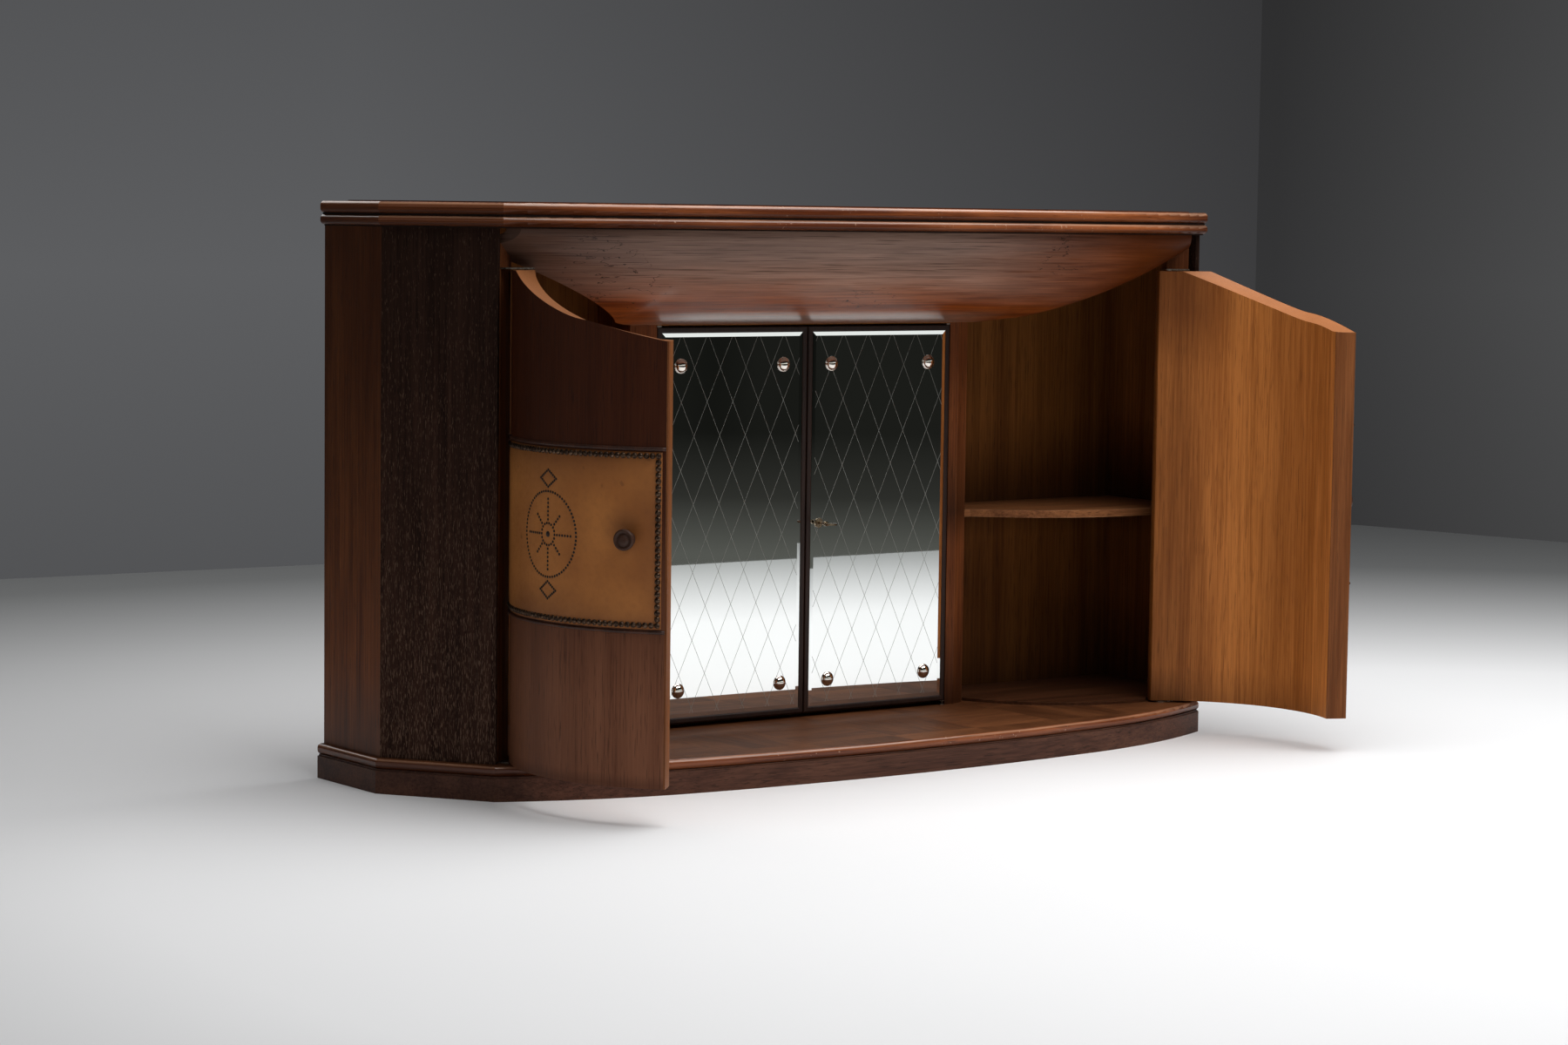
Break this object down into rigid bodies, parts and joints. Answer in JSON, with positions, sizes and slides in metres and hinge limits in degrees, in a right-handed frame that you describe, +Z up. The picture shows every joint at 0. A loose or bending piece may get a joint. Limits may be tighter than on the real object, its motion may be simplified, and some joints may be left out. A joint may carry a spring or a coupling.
{
  "type": "bar console",
  "caption": "Bow-fronted bar console with a swelling apron, curved leather-panelled side doors and lockable mirrored doors in the middle, with shelves inside.",
  "frame": {"origin": "middle of the base on the floor: half-way across, where the side walls' front ends and the bowed front balance; the middle bearer's underside", "axes": "+X along the width to the right seen from the front, -Y out of the bowed front, +Z up"},
  "size_m": [1.842, 0.7538, 1.0018],
  "materials": {
    "apron_wood": "polished brown veneer, grain lengthways",
    "bead_wood": "slender half-round",
    "bronze": "dark patinated bronze",
    "corner_wood": "near-black brushed oak",
    "door_wood": "dark brown veneer",
    "edge_wood": "glossy reddish-brown rounded edge",
    "frame_wood": "slender dark frame",
    "inner_wood": "golden brown vertical veneer",
    "leaf_wood": "plain backing board",
    "leather": "tan leather, worn",
    "lipping_wood": "light orange-brown edge",
    "mirror": "bevelled mirror",
    "plinth_wood": "satin lacquered dark reddish wood",
    "post_wood": "dark brown",
    "shadow_wood": "dark recessed wood",
    "side_wood": "mid-brown vertical veneer",
    "steel": "plain hardware",
    "top_wood": "dark polished panel"
  },
  "bodies": {
    "carcass": {"apron": "apron_wood", "back_panel": "side_wood", "centre_floor": "inner_wood", "centre_shelf": "inner_wood", "compartment_floor_left": "inner_wood", "compartment_floor_right": "inner_wood", "corner_panel_left": "corner_wood", "corner_panel_right": "corner_wood", "corner_post_left": "post_wood", "corner_post_right": "post_wood", "deck_board": "edge_wood", "header_rail": "inner_wood", "mirror_hinges_fixed": "steel", "partition_left": "inner_wood", "partition_right": "inner_wood", "pivot_plates": "steel", "plinth_back": "plinth_wood", "plinth_bearers": "plinth_wood", "plinth_front": "plinth_wood", "plinth_sides": "plinth_wood", "shelf_pins": "steel", "side_panel_left": "side_wood", "side_panel_right": "side_wood", "side_shelf_left": "inner_wood", "side_shelf_right": "inner_wood", "stop_post_left": "inner_wood", "stop_post_right": "inner_wood", "top_inlay": "top_wood", "top_lower_board": "edge_wood", "top_neck_board": "shadow_wood", "top_spacer": "shadow_wood", "top_upper_board": "edge_wood"},
    "left_door": {"side_door_panel_left": "door_wood", "side_door_lipping_left": "lipping_wood", "side_door_pivots_left": "steel", "leather_panel_left": "leather", "leather_beads_left": "bead_wood", "side_door_knob_left": "bronze"},
    "right_door": {"side_door_panel_right": "door_wood", "side_door_lipping_right": "lipping_wood", "side_door_pivots_right": "steel", "leather_panel_right": "leather", "leather_beads_right": "bead_wood", "side_door_knob_right": "bronze"},
    "left_mirror_door": {"mirror_door_panel_left": "leaf_wood", "mirror_glass_left": "mirror", "mirror_frame_left": "frame_wood", "mirror_rosettes_left": "bronze", "mirror_hinge_moving_left": "steel", "lock_keep": "steel"},
    "right_mirror_door": {"mirror_door_panel_right": "leaf_wood", "mirror_glass_right": "mirror", "mirror_frame_right": "frame_wood", "mirror_rosettes_right": "bronze", "mirror_hinge_moving_right": "steel", "lock_case": "steel", "escutcheon": "bronze"},
    "key": {"key": "bronze"},
    "lock_bolt": {"lock_bolt": "steel"}
  },
  "joints": [
    {"name": "right_door", "type": "hinge", "parent": "carcass", "child": "right_door", "pos_m": [0.722, -0.0989, 0.064], "axis": [0, 0, 1], "range_deg": [-135, 1]},
    {"name": "left_door", "type": "hinge", "parent": "carcass", "child": "left_door", "pos_m": [-0.722, -0.0989, 0.064], "axis": [0, 0, -1], "range_deg": [-114.9, 21.1]},
    {"name": "right_mirror_door", "type": "hinge", "parent": "carcass", "child": "right_mirror_door", "pos_m": [0.3298, 0.0835, 0.15], "axis": [0, 0, 1], "range_deg": [0, 90]},
    {"name": "left_mirror_door", "type": "hinge", "parent": "carcass", "child": "left_mirror_door", "pos_m": [-0.3298, 0.0835, 0.15], "axis": [0, 0, -1], "range_deg": [0, 90]},
    {"name": "key_turn", "type": "hinge", "parent": "right_mirror_door", "child": "key", "pos_m": [0.03, 0.082, 0.42], "axis": [0, 1, 0], "range_deg": [0, 90]},
    {"name": "bolt_slide", "type": "slide", "parent": "right_mirror_door", "child": "lock_bolt", "axis": [-1, 0, 0], "range_m": [0, 0.01]}
  ],
  "couplings": [
    {"joint": "bolt_slide", "follows": "key_turn", "m_per_rad": 0.00636}
  ]
}
